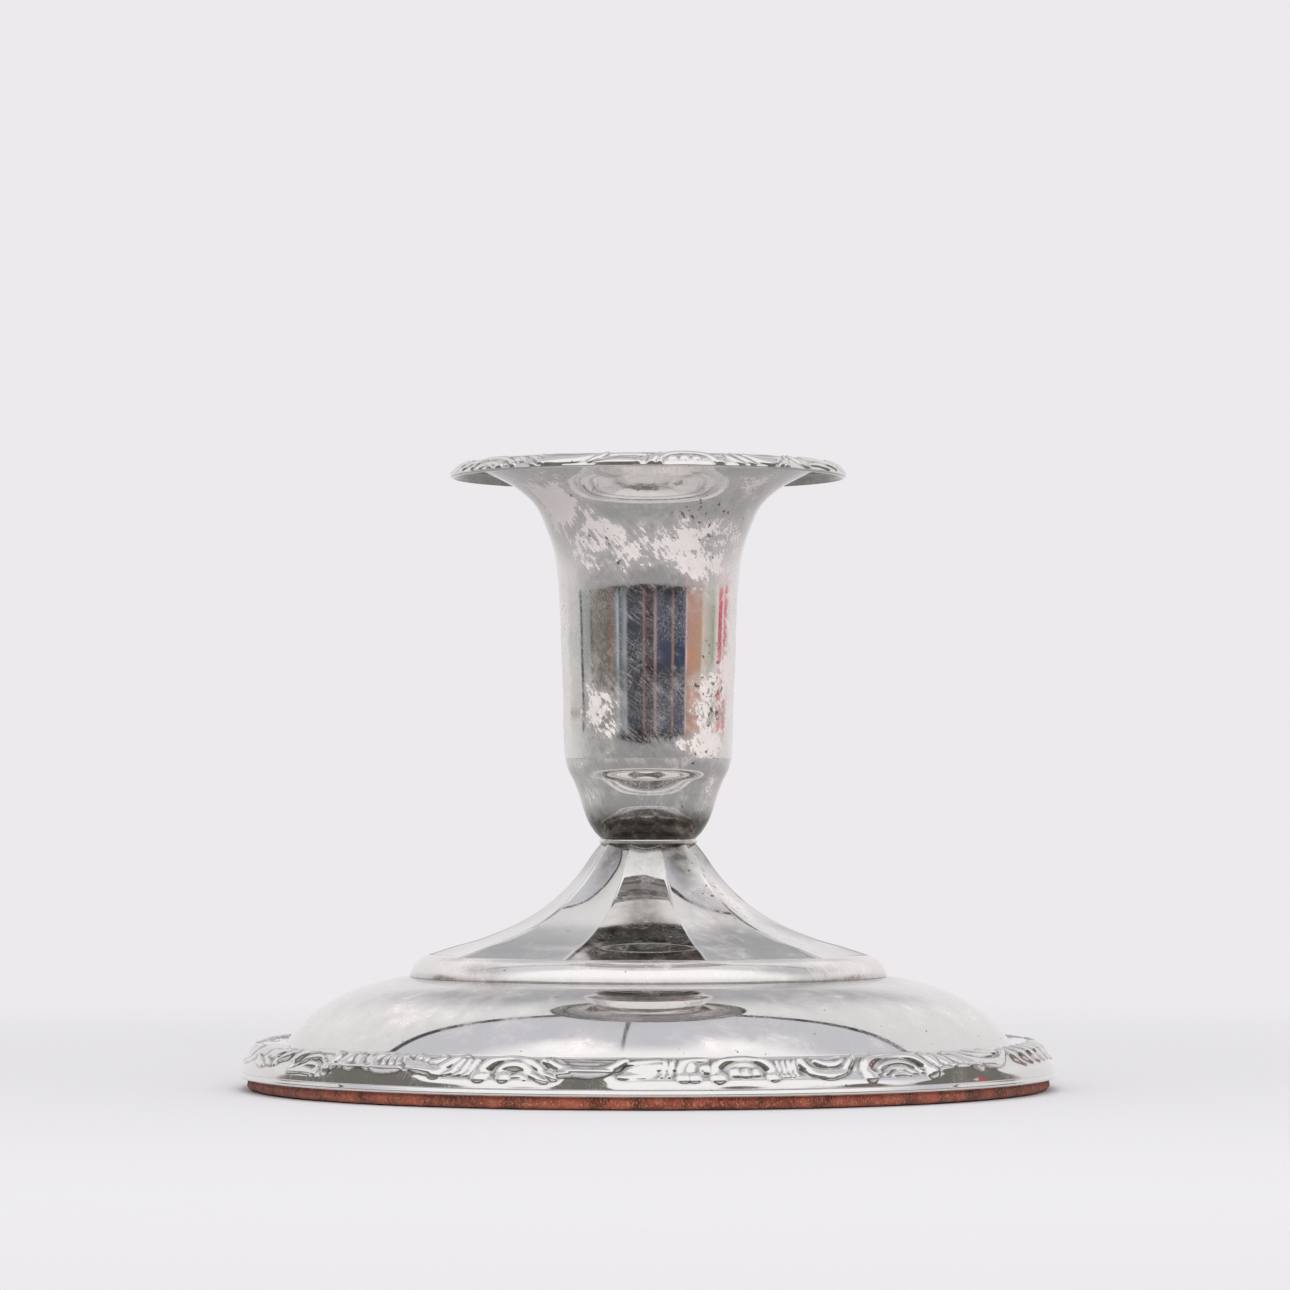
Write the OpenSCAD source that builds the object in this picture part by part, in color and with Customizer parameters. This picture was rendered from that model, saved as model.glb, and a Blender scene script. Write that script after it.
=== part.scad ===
// Low filled candlestick: a round foot with a chased border, a fluted stem
// and a candle socket that flares into a bordered mouth.
// Origin: centre of the foot's underside. +Z up. Millimetres.

/* [Overall] */
// Widest radius of the foot, at its wire
foot_r = 57.5; // [57:0.1:58.5]
// Height of the smooth crest of the top border
rim_z = 88.3; // [88.2:0.1:89]
// Thickness of the silver sheet
sheet = 0.65; // [0.55:0.05:0.7]

/* [Foot] */
// Thickness of the felt
felt_h = 1.6; // [1:0.1:1.8]
// Thickness of the backing board
board_h = 1; // [0.8:0.1:1.2]
// Height of the wire round the foot's lower edge
wire_h = 1; // [0.8:0.1:1.2]
// Height of the dome's flat top, where the collar is soldered
dome_top_z = 15.7; // [15.6:0.1:16]
// Motifs round the foot's border
foot_motifs = 18; // [12:1:20]

/* [Stem] */
// Height of the collar's top, where the stem starts
collar_top_z = 18.7; // [18.5:0.1:18.9]
// Height of the stem's top
stem_top_z = 34.3; // [34.2:0.1:34.5]
// Number of flutes
flutes = 10; // [8:1:12]
// Hollow of a flute, as a share of the stem's radius
flute_hollow = 0.03; // [0:0.005:0.05]
// Turn of the first ridge about the axis, in degrees
ridge_turn = -75.5; // [-90:0.5:90]

/* [Socket] */
// Radius of the straight bore that takes the candle
bore_r = 11.3; // [11.1:0.05:11.35]
// Length of the straight bore
bore_length = 10; // [8:1:11]
// Height of the socket floor, where the candle stands
floor_z = 46.25; // [46:0.05:46.4]
// Motifs round the top border
rim_motifs = 14; // [10:1:16]

/* [Fixing] */
// Radius of the tie screw's shank
screw_r = 2; // [1.5:0.1:2.2]
// Clearance between the shank and the holes it passes
screw_gap = 0.3; // [0.1:0.1:0.5]

/* [Hidden] */
$fn = 96;

silver = "silver";
hole_r = screw_r + screw_gap;

// Foot: the wire, the flange that the border stands on, and the dome
wire_in_r = foot_r - 2.1;
wire_top_z = felt_h + wire_h;
skirt_r = foot_r - 6.6;
border_in_z = 6.6;
board_top_z = felt_h + board_h;
flange_top_z = board_top_z + sheet;
dome_hole_r = 31;

// Stem
collar_r = 33.6;
collar_hole_r = 27.5;
stem_foot_r = 30.8;
stem_top_r = 6.7;
flute_steps = 4;

// Socket
ring_top_z = 35.1;
shoulder_r = 11.75;
bowl_ledge_z = floor_z - sheet;
floor_r = bore_r - 0.2;
well_r = 7.25;
well_z = 42.55;
mouth_r = 22.9;
mouth_z = 86.7;

// Fixing
washer_h = 0.6;
head_h = 2.1;
head_r = 3.8;
recess_r = 8;
clamp_z = 8.2;
clamp_h = 0.8;
nut_h = 3.2;
nut_r = 4.04;

// A smooth curve through the given points
function spline_point(p, i, t) =
    let (a = p[max(i - 1, 0)], b = p[i], c = p[i + 1], d = p[min(i + 2, len(p) - 1)])
    b + 0.5 * t * (c - a + t * (2 * a - 5 * b + 4 * c - d + t * (3 * b - a - 3 * c + d)));
function spline(p, steps) =
    concat([for (i = [0:len(p) - 2], k = [0:steps - 1]) spline_point(p, i, k / steps)], [p[len(p) - 1]]);

// The same curve moved sideways by d, to the left of its direction
function direction(p, i) =
    let (v = p[min(i + 1, len(p) - 1)] - p[max(i - 1, 0)]) v / norm(v);
function beside(p, d) =
    [for (i = [0:len(p) - 1]) let (t = direction(p, i)) p[i] + d * [-t[1], t[0]]];

// A curve kept between two heights, and a list the other way round
function between(p, low, high) = [for (q = p) [q[0], min(max(q[1], low), high)]];
function reversed(p) = [for (i = [len(p) - 1:-1:0]) p[i]];

// Outer curve of the dome, from the border to the collar, and its inner face
dome_outer = spline([
    [skirt_r, border_in_z], [skirt_r - 0.8, 8.0], [skirt_r - 2.4, 9.4], [skirt_r - 5.0, 11.4],
    [skirt_r - 8.2, 13.2], [skirt_r - 12.4, 14.6], [collar_r + 0.1, dome_top_z]], 4);
dome_inner = beside(dome_outer, sheet);

// Quarter-round face of the collar, and its inner face
collar_outer = spline([
    [collar_r, dome_top_z], [collar_r - 0.1, 16.6], [collar_r - 0.6, 17.5],
    [collar_r - 1.5, 18.2], [collar_r - 2.5, collar_top_z]], 4);
collar_inner = between(beside(collar_outer, sheet), dome_top_z, collar_top_z - sheet);

// Line of a ridge of the stem, and the same line on the inside of the sheet
ridge_outer = spline([
    [stem_foot_r, collar_top_z], [27.4, 19.8], [23.9, 20.8], [20.3, 22.2], [17.4, 23.6],
    [14.3, 25.6], [11.7, 27.9], [9.6, 30.3], [7.8, 32.9], [stem_top_r, stem_top_z]], 2);
ridge_inner = between(beside(ridge_outer, sheet), collar_top_z, stem_top_z - sheet);

// Side of the socket bowl, and its inner face
bowl_outer = spline([
    [stem_top_r, ring_top_z], [7.6, 36.05], [8.5, 37.5], [9.2, 39.3], [9.85, 41.4],
    [10.6, 43.3], [11.35, 44.8], [shoulder_r, floor_z]], 4);
bowl_inner = between(beside(bowl_outer, sheet), ring_top_z + sheet, bowl_ledge_z - sheet);

// Outer line of the candle tube and its trumpet mouth, and the inner line above the bore
tube_outer = spline([
    [shoulder_r, floor_z], [12.0, 50.5], [12.05, 54.7], [12.3, 60.3], [12.45, 65.6],
    [12.75, 71], [13.3, 75.2], [14.4, 78.7], [16.1, 82.2], [19.1, 84.8], [mouth_r, mouth_z]], 4);
trumpet_inner = [for (q = beside(tube_outer, sheet)) if (q[1] > floor_z + bore_length + 2) q];
trumpet_top = between(trumpet_inner, 0, mouth_z);

module turned(points) {
    rotate_extrude() polygon(points);
}

module washer(r, hole, low, height) {
    translate([0, 0, low]) difference() {
        cylinder(r = r, h = height);
        translate([0, 0, -1]) cylinder(r = hole, h = height + 2);
    }
}

// One raised scroll arch that opens outward, with a bead inside it
module motif(arch_r, wire_r, bead_r) {
    rotate([0, 0, 90]) rotate_extrude(angle = 180) translate([arch_r, 0]) circle(r = wire_r, $fn = 24);
    sphere(r = bead_r, $fn = 24);
}

// A ring of such motifs, each lying on the border's slope
module motifs(count, r, z, slope, arch_r, wire_r, bead_r) {
    for (i = [0:count - 1])
        rotate([0, 0, (i + 0.5) * 360 / count])
            translate([r, 0, z]) rotate([0, slope, 0]) motif(arch_r, wire_r, bead_r);
}

module felt_pad() {
    color("brown") cylinder(r = foot_r - 1, h = felt_h);
}

module backing_board() {
    color("tan") translate([0, 0, felt_h]) cylinder(r = wire_in_r, h = board_h);
}

// Weight that fills the foot and the stem, with a pocket for the nut
module foot_filler() {
    stem_fill = [for (q = ridge_inner) if (q[1] > collar_top_z) [q[0] * 0.9, q[1]]];
    color("dimgray") turned(concat(
        [[recess_r, board_top_z], [dome_inner[0][0], board_top_z]],
        dome_inner,
        [[dome_hole_r, dome_top_z - sheet], [dome_hole_r, dome_top_z]],
        collar_inner,
        [[collar_hole_r, collar_top_z - sheet], [collar_hole_r, collar_top_z]],
        stem_fill,
        [[hole_r, stem_top_z - sheet], [hole_r, clamp_z], [recess_r, clamp_z]]));
}

module foot_wire() {
    edge = spline([
        [foot_r - 0.8, felt_h], [foot_r - 0.3, felt_h + 0.3 * wire_h],
        [foot_r - 0.05, felt_h + 0.65 * wire_h], [foot_r, wire_top_z]], 3);
    color(silver) turned(concat([[wire_in_r, felt_h]], edge, [[wire_in_r, wire_top_z]]));
}

module foot_border() {
    outline = spline([
        [foot_r, wire_top_z], [foot_r - 0.1, 3.6], [foot_r - 0.5, 4.6], [foot_r - 1.1, 5.6],
        [foot_r - 2.1, 6.4], [foot_r - 3.3, 6.8], [foot_r - 4.6, 6.9], [skirt_r, border_in_z]], 3);
    seat = [[skirt_r, flange_top_z], [wire_in_r, flange_top_z], [wire_in_r, wire_top_z]];
    color(silver) union() {
        turned(concat(seat, outline));
        motifs(foot_motifs, foot_r - 2.3, 6.5, 33, 2.1, 0.45, 0.8);
    }
}

module foot_dome() {
    color(silver) turned(concat(
        [[dome_inner[0][0], board_top_z], [wire_in_r, board_top_z],
         [wire_in_r, flange_top_z], [skirt_r, flange_top_z]],
        dome_outer,
        [[dome_hole_r, dome_top_z], [dome_hole_r, dome_top_z - sheet]],
        reversed(dome_inner)));
}

module step_collar() {
    color(silver) turned(concat(
        collar_outer,
        [[collar_hole_r, collar_top_z], [collar_hole_r, collar_top_z - sheet]],
        reversed(collar_inner)));
}

// Share of the ridge's radius at an angle from the middle of a flute
function flute_share(angle) =
    let (half = 180 / flutes) cos(half) / cos(angle) - flute_hollow * (1 - pow(angle / half, 2));

// Fluted sheet, closed at its top by a plate with a hole for the screw
module fluted_cone() {
    sides = flutes * flute_steps;
    rings = concat(
        [for (q = ridge_outer) [q[0], q[1], true]],
        [[hole_r, stem_top_z, false], [hole_r, stem_top_z - sheet, false]],
        [for (q = reversed(ridge_inner)) [q[0], q[1], true]]);
    count = len(rings);
    corners = [for (g = rings, j = [0:sides - 1])
        let (turn = j * 360 / sides, half = 180 / flutes,
             r = g[2] ? g[0] * flute_share(turn % (2 * half) - half) : g[0])
        [r * cos(turn + ridge_turn), r * sin(turn + ridge_turn), g[1]]];
    faces = [for (i = [0:count - 1], j = [0:sides - 1])
        let (a = i * sides, b = ((i + 1) % count) * sides, k = (j + 1) % sides)
        [a + j, b + j, b + k, a + k]];
    color(silver) polyhedron(corners, faces);
}

module neck_ring() {
    outer_r = stem_top_r + 0.2;
    color(silver) turned([
        [hole_r, stem_top_z], [outer_r - 0.15, stem_top_z], [outer_r, stem_top_z + 0.2],
        [outer_r, ring_top_z - 0.2], [outer_r - 0.15, ring_top_z], [hole_r, ring_top_z]]);
}

module socket_bowl() {
    ledge_r = well_r + sheet + 0.7;
    color(silver) turned(concat(
        [[hole_r, ring_top_z]],
        bowl_outer,
        [[floor_r, floor_z], [floor_r, bowl_ledge_z], [ledge_r, bowl_ledge_z], [ledge_r, bowl_ledge_z - sheet]],
        reversed(bowl_inner),
        [[hole_r, ring_top_z + sheet]]));
}

// Plate that the candle stands on, dished in the middle for the screw's head
module socket_floor() {
    color(silver) turned([
        [hole_r, well_z - sheet], [well_r, well_z - sheet], [well_r + sheet, well_z],
        [well_r + sheet, bowl_ledge_z], [floor_r, bowl_ledge_z], [floor_r, floor_z],
        [well_r, floor_z], [well_r, well_z], [hole_r, well_z]]);
}

// Candle tube: a true bore at the bottom, then a trumpet mouth
module socket_tube() {
    color(silver) turned(concat(
        tube_outer,
        reversed(trumpet_top),
        [[bore_r, floor_z + bore_length], [bore_r, floor_z]]));
}

// Top border: rolled over at its edge, open underneath
module rim_border() {
    inner_r = trumpet_top[len(trumpet_top) - 1][0];
    top = spline([
        [28.0, 85.9], [27.95, 86.7], [27.3, 87.5], [26.2, 88.1], [24.6, rim_z], [23.0, rim_z],
        [inner_r + 0.6, rim_z - 0.6], [inner_r, mouth_z]], 3);
    under = spline([[mouth_r, mouth_z], [24.4, 87.25], [25.8, 87.35], [26.9, 86.8], [27.4, 85.9]], 3);
    color(silver) union() {
        turned(concat(top, under));
        motifs(rim_motifs, 26.5, rim_z - 0.6, 18, 1.3, 0.3, 0.5);
    }
}

module tie_screw() {
    low = 3.4;
    head_z = well_z + washer_h;
    color("gray") difference() {
        union() {
            translate([0, 0, low]) cylinder(r = screw_r, h = head_z - low);
            translate([0, 0, head_z]) cylinder(r = head_r, h = head_h);
        }
        translate([-head_r - 1, -0.5, head_z + head_h / 2]) cube([2 * head_r + 2, 1, head_h]);
    }
}

module screw_washer() {
    color("dimgray") washer(4.6, hole_r, well_z, washer_h);
}

module clamp_washer() {
    color("dimgray") washer(6, hole_r, clamp_z - clamp_h, clamp_h);
}

module clamp_nut() {
    color("gray") translate([0, 0, clamp_z - clamp_h - nut_h]) difference() {
        cylinder(r = nut_r, h = nut_h, $fn = 6);
        translate([0, 0, -1]) cylinder(r = screw_r, h = nut_h + 2);
    }
}

felt_pad();
backing_board();
foot_filler();
foot_wire();
foot_border();
foot_dome();
step_collar();
fluted_cone();
neck_ring();
socket_bowl();
socket_floor();
socket_tube();
rim_border();
tie_screw();
screw_washer();
clamp_washer();
clamp_nut();
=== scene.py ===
"""Looks of a low, filled silver candlestick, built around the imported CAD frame.

Each silver piece is a thin turned shell, made here as a dense mesh on the sizes of its CAD node.
The two chased borders add a relief that is drawn from a short list of motifs.
Outlines are in millimetres as (radius, height). An angle of 0 faces the front (-Y), and grows to the right.
"""

import math

import bpy
import numpy as np
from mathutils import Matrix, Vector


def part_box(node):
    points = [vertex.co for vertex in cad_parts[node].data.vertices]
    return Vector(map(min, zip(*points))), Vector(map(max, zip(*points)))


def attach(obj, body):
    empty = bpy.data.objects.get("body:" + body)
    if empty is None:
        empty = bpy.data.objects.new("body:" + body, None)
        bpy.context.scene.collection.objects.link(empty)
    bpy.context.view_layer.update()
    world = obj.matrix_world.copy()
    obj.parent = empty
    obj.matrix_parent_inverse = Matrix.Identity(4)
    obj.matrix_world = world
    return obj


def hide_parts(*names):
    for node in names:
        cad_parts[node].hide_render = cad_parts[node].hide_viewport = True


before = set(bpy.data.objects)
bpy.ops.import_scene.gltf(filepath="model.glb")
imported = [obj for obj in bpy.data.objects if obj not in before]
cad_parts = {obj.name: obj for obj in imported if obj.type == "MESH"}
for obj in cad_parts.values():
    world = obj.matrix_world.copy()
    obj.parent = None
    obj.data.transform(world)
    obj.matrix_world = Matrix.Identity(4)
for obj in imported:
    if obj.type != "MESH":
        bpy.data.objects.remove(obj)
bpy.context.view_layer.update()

MM = 0.001
# About a full turn in radians, for a random start of a wave
TURN = 6.28


# ---------------------------------------------------------------- sizes, from the frame

def low(node):
    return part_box(node)[0].z / MM


def top(node):
    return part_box(node)[1].z / MM


def reach(node):
    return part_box(node)[1].x / MM


# A smooth curve bulges a little past its points, so the widest edges keep this far inside the frame
BULGE = 0.02

FELT_H = top("felt_pad")
FELT_R = reach("felt_pad")
FOOT_R = reach("foot_wire") - BULGE
WIRE_Z = top("foot_wire")
COLLAR_R = reach("step_collar")
COLLAR_LOW = low("step_collar")
COLLAR_TOP = top("step_collar")
STEM_TOP = top("fluted_cone")
RING_TOP = top("neck_ring")
RING_R = reach("neck_ring")
FLOOR_Z = top("socket_floor")
SHOULDER_R = reach("socket_bowl")
MOUTH_R = reach("socket_tube")
MOUTH_Z = top("socket_tube")
RIM_R = reach("rim_border")
RIM_CREST = top("rim_border") - 0.01

# Sizes that no box gives, close to those of the part's source
RIM_Z = 88.2
SHEET = 0.65
BORE_R = 11.3
BORE_LENGTH = 10
LEDGE_R = 8.6
HOLE_R = 2.3
HEM_R = FOOT_R - 2.1
SKIRT_R = FOOT_R - 6.6
SKIRT_Z = 6.6
DOME_HOLE_R = 31.0
DOME_EASE = 7.6
COLLAR_HOLE_R = 27.5
FLUTES = 10
FLUTE_HOLLOW = 0.03
RIDGE_ANGLE = 14.5

# Spots round the whole object are given this half-width in degrees
ALL_ROUND = 400


# ---------------------------------------------------------------- outlines

# Points nearer than this, in millimetres, are the same point
MEETS = 1e-4


def spline(points, step=0.3):
    """Points along a smooth curve through the given points, about step millimetres apart."""
    p = np.array(points, float)
    made = []
    for i in range(len(p) - 1):
        a, b, c, d = p[max(i - 1, 0)], p[i], p[i + 1], p[min(i + 2, len(p) - 1)]
        count = max(2, int(math.ceil(np.linalg.norm(c - b) / step)))
        for t in np.arange(count) / count:
            made.append(b + 0.5 * t * (c - a + t * (2 * a - 5 * b + 4 * c - d + t * (3 * b - a - 3 * c + d))))
    return np.array(made + [p[-1]])


def beside(line, distance):
    """The line moved sideways, to the left of its direction."""
    ahead = np.gradient(line, axis=0)
    ahead /= np.linalg.norm(ahead, axis=1)[:, None]
    return line + distance * np.stack([-ahead[:, 1], ahead[:, 0]], 1)


def between(line, lowest, highest):
    return np.stack([line[:, 0], np.clip(line[:, 1], lowest, highest)], 1)


def rounded(loop, radius=0.12, sharpest=28):
    """The closed loop with its sharp corners rounded, and a point to hold each side of a rounding."""
    loop = np.array(loop, float)
    loop = loop[np.linalg.norm(loop - np.roll(loop, 1, 0), axis=1) > MEETS]
    made = []
    for i, here in enumerate(loop):
        back, ahead = loop[i - 1] - here, loop[(i + 1) % len(loop)] - here
        room = min(np.linalg.norm(back), np.linalg.norm(ahead))
        back, ahead = back / np.linalg.norm(back), ahead / np.linalg.norm(ahead)
        turn = 180 - math.degrees(math.acos(np.clip(back @ ahead, -1, 1)))
        if turn < sharpest:
            made.append(here)
            continue
        cut = min(radius, 0.35 * room)
        start, end = here + cut * back, here + cut * ahead
        if room > 3 * radius:
            made.append(here + 2 * cut * back)
        for t in (0, 0.33, 0.67, 1):
            made.append((1 - t) ** 2 * start + 2 * t * (1 - t) * here + t ** 2 * end)
        if room > 3 * radius:
            made.append(here + 2 * cut * ahead)
    return np.array(made)


# ---------------------------------------------------------------- meshes

def grid_mesh(name, points, closed=True):
    """A mesh on points (rows, columns, 3) in metres; columns wrap round, and so do rows if it is closed."""
    rows, columns = points.shape[:2]
    index = np.arange(rows * columns).reshape(rows, columns)
    lower = index if closed else index[:-1]
    upper = np.roll(index, -1, 0) if closed else index[1:]
    quads = np.stack([lower, np.roll(lower, -1, 1), np.roll(upper, -1, 1), upper], -1).reshape(-1, 4)
    mesh = bpy.data.meshes.new(name)
    mesh.vertices.add(rows * columns)
    mesh.vertices.foreach_set("co", points.astype(np.float32).ravel())
    mesh.loops.add(quads.size)
    mesh.loops.foreach_set("vertex_index", quads.astype(np.int32).ravel())
    mesh.polygons.add(len(quads))
    mesh.polygons.foreach_set("loop_start", np.arange(0, quads.size, 4, dtype=np.int32))
    mesh.polygons.foreach_set("use_smooth", np.ones(len(quads), bool))
    mesh.update(calc_edges=True)
    mesh.validate()
    return mesh


def store(mesh, name, values):
    attribute = mesh.attributes.new(name, "FLOAT", "POINT")
    attribute.data.foreach_set("value", np.asarray(values, np.float32).ravel())


def add(name, data):
    """A new object in the scene."""
    made = bpy.data.objects.new(name, data)
    bpy.context.scene.collection.objects.link(made)
    return made


def place(name, mesh, node, look):
    """The mesh as a piece that rides on the part and stands for its CAD node."""
    piece = add(name, mesh)
    mesh.materials.append(look)
    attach(piece, "root")
    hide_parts(node)
    return piece


def angles(columns):
    return np.arange(columns) * 2 * math.pi / columns


def turned_points(radius, height, angle):
    """Points in metres from radii and heights in millimetres (rows, columns) and the columns' angles."""
    return np.stack([radius * np.sin(angle), -radius * np.cos(angle), height], -1) * MM


def waver(outline, angle, amount, seed):
    """Very slight hand-worked waviness: a change of radius for each row and column."""
    random = np.random.default_rng(seed)
    along = np.concatenate([[0], np.cumsum(np.linalg.norm(np.diff(outline, axis=0), axis=1))])[:, None]
    wave = np.zeros((len(outline), len(angle)))
    for lobes in range(2, 8):
        phase = random.uniform(0, 2 * math.pi, 2)
        pitch = random.uniform(9, 30)
        around = np.sin(lobes * angle[None] + phase[0])
        wave += around * np.sin(2 * math.pi * along / pitch + phase[1]) / lobes
    return amount * wave


def patches(spots, angle, height):
    """Strength at each point of the spots, which are listed as TUBE_SPOTS says."""
    degrees = np.degrees(angle)[None]
    total = np.zeros((len(height), len(angle)))
    for at, z, wide, tall, strength in spots:
        around = (degrees - at + 180) % 360 - 180
        total += strength * np.exp(-((around / wide) ** 2 + ((height[:, None] - z) / tall) ** 2) ** 1.6)
    return total


def wear_and_shade(mesh, angle, height, spots=(), specks=(), shade_and_smudges=()):
    """Strengths that the silver material reads: milky bloom, dark specks, and painted shade in creases with a
    few dark marks, in the dark brown of the patina.
    """
    for name, marks in (("bloom", spots), ("specks", specks), ("patina_and_painted_shade", shade_and_smudges)):
        # the third list is painted shade, with a few dark marks among it
        store(mesh, name, patches(marks, angle, height))


def shell(name, node, outline, columns, look, spots=(), specks=(), shade_and_smudges=(), waviness=0.012, seed=1):
    """A turned silver shell, as a piece that stands for its CAD node."""
    loop = rounded(outline)
    angle = angles(columns)
    radius = loop[:, :1] + waver(loop, angle, waviness, seed)
    height = np.repeat(loop[:, 1:], columns, 1)
    mesh = grid_mesh(name, turned_points(radius, height, angle))
    wear_and_shade(mesh, angle, loop[:, 1], spots, specks, shade_and_smudges)
    return place(name, mesh, node, look)


# ---------------------------------------------------------------- node graphs

class Graph:
    """Short ways to add shader nodes to a tree."""

    def __init__(self, tree):
        self.tree = tree
        tree.nodes.clear()

    def feed(self, socket, value):
        if isinstance(value, bpy.types.NodeSocket):
            self.tree.links.new(value, socket)
        else:
            socket.default_value = value

    def node(self, kind, inputs=None, **settings):
        made = self.tree.nodes.new(kind)
        for key, value in settings.items():
            setattr(made, key, value)
        for key, value in (inputs or {}).items():
            self.feed(made.inputs[key], value)
        return made

    def math(self, operation, *values, clamp=False):
        made = self.node("ShaderNodeMath", operation=operation, use_clamp=clamp)
        for socket, value in zip(made.inputs, values):
            self.feed(socket, value)
        return made.outputs[0]

    def times(self, a, b, clamp=False):
        return self.math("MULTIPLY", a, b, clamp=clamp)

    def step(self, value, start, end):
        """0 below start and 1 above end, with a smooth rise between."""
        made = self.node("ShaderNodeMapRange", {0: value, 1: start, 2: end}, interpolation_type="SMOOTHSTEP")
        return made.outputs[0]

    def band(self, value, middle, half):
        """1 within half of the middle, and 0 outside."""
        return self.math("LESS_THAN", self.math("ABSOLUTE", self.math("SUBTRACT", value, middle)), half)

    def mix(self, factor, a, b):
        made = self.node("ShaderNodeMix", {0: factor}, data_type="RGBA")
        for socket, value in zip((made.inputs[6], made.inputs[7]), (a, b)):
            self.feed(socket, value if isinstance(value, bpy.types.NodeSocket) else (*value[:3], 1))
        return made.outputs[2]

    def lerp(self, factor, a, b):
        return self.node("ShaderNodeMix", {0: factor, 2: a, 3: b}, data_type="FLOAT").outputs[0]

    def ramp(self, value, stops):
        """A colour ramp; stops are (position, colour)."""
        made = self.node("ShaderNodeValToRGB", {0: value})
        elements = made.color_ramp.elements
        while len(elements) < len(stops):
            elements.new(1)
        for element, (position, _) in zip(elements, stops):
            element.position = position
        for element, (_, colour) in zip(elements, stops):
            element.color = (*colour, 1)
        return made.outputs[0]

    def noise(self, vector, scale, detail=4.0, roughness=0.55, distortion=0.0):
        made = self.node("ShaderNodeTexNoise", {"Vector": vector, "Scale": scale, "Detail": detail,
                                                "Roughness": roughness, "Distortion": distortion})
        return made.outputs[0]

    def moved(self, vector, turn=(0, 0, 0), scale=(1, 1, 1)):
        """The vector turned by degrees and then scaled."""
        turned = self.node("ShaderNodeMapping", {0: vector, 2: [math.radians(t) for t in turn]})
        return self.node("ShaderNodeMapping", {0: turned.outputs[0], 3: scale}).outputs[0]

    def attribute(self, name):
        return self.node("ShaderNodeAttribute", attribute_name=name).outputs["Fac"]

    def separate(self, vector):
        return self.node("ShaderNodeSeparateXYZ", {0: vector}).outputs

    def here(self):
        """The place on the object, in metres."""
        return self.node("ShaderNodeTexCoord").outputs["Object"]


def material(name):
    made = bpy.data.materials.new(name)
    made.use_nodes = True
    return made, Graph(made.node_tree)


def finish_material(graph, shader):
    graph.node("ShaderNodeOutputMaterial", {0: shader.outputs[0]})


# ---------------------------------------------------------------- materials

MIRROR = (0.77, 0.755, 0.74)
MILK = (0.97, 0.895, 0.875)
# Dark brown: the patina in the hollows of the chased work, and also the colour of the painted shade in
# creases and under the borders
PATINA_AND_SHADE_COLOUR = (0.115, 0.105, 0.085)
SPECK = (0.17, 0.15, 0.14)
SCRATCH = (0.92, 0.91, 0.9)

# Turn in degrees of each set of scratches, and how closely its lines stand
SCRATCHES = (((12, 52, 7), 4300), ((-9, -28, 31), 5400), ((24, 8, 64), 4900))


def bloom_mask(g, here, level, soft, turn, streaky, flaky, thin_veil, haze):
    """How milky the silver is: ragged patches round the bloom spots, and a thin veil about them."""
    streaks = g.noise(g.moved(here, turn, (1, 1, 0.08)), 2300, 4, 0.68)
    flakes = g.noise(here, 430, 7, 0.62, 0.5)
    clouds = g.noise(here, 170, 5, 0.6, 0.3)
    bloom = g.attribute("bloom")
    for ragged, weight in ((streaks, streaky), (flakes, flaky), (clouds, 1.1)):
        bloom = g.math("ADD", bloom, g.times(g.math("SUBTRACT", ragged, 0.5), weight))
    brushed = g.lerp(g.noise(g.moved(here, turn, (1, 1, 0.15)), 1300, 5, 0.7), 0.55, 1.15)
    milky = g.times(g.step(bloom, level - soft, level + soft), brushed)
    thin = g.times(g.step(bloom, level - 0.42, level), thin_veil)
    return g.math("MAXIMUM", milky, g.math("ADD", thin, haze), clamp=True)


def speck_mask(g, here):
    """Small dark dots, which are more frequent in some clouds and in the zones marked for them."""
    cloud = g.step(g.noise(here, 120, 2), 0.52, 0.66)
    zone = g.math("ADD", g.attribute("specks"), g.times(cloud, 0.3))
    rare = g.math("SUBTRACT", 0.75, g.times(g.math("MINIMUM", zone, 1.0), 0.16))
    return g.step(g.math("SUBTRACT", g.noise(here, 1150, 2, 0.5), rare), 0.0, 0.03)


def scratch_mask(g, here, least):
    """Hairlines in three directions, where a cloud is above the least value."""
    found = None
    for turn, closeness in SCRATCHES:
        line = g.noise(g.moved(here, turn, (1, 1, 0.02)), closeness, 1, 0.4)
        line = g.step(g.math("ABSOLUTE", g.math("SUBTRACT", line, 0.5)), 0.014, 0.002)
        cloud = g.noise(g.moved(here, turn, (1, 1, 0.4)), 260, 1)
        line = g.times(line, g.step(cloud, least, least + 0.1))
        found = line if found is None else g.math("MAXIMUM", found, line)
    return found


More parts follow.
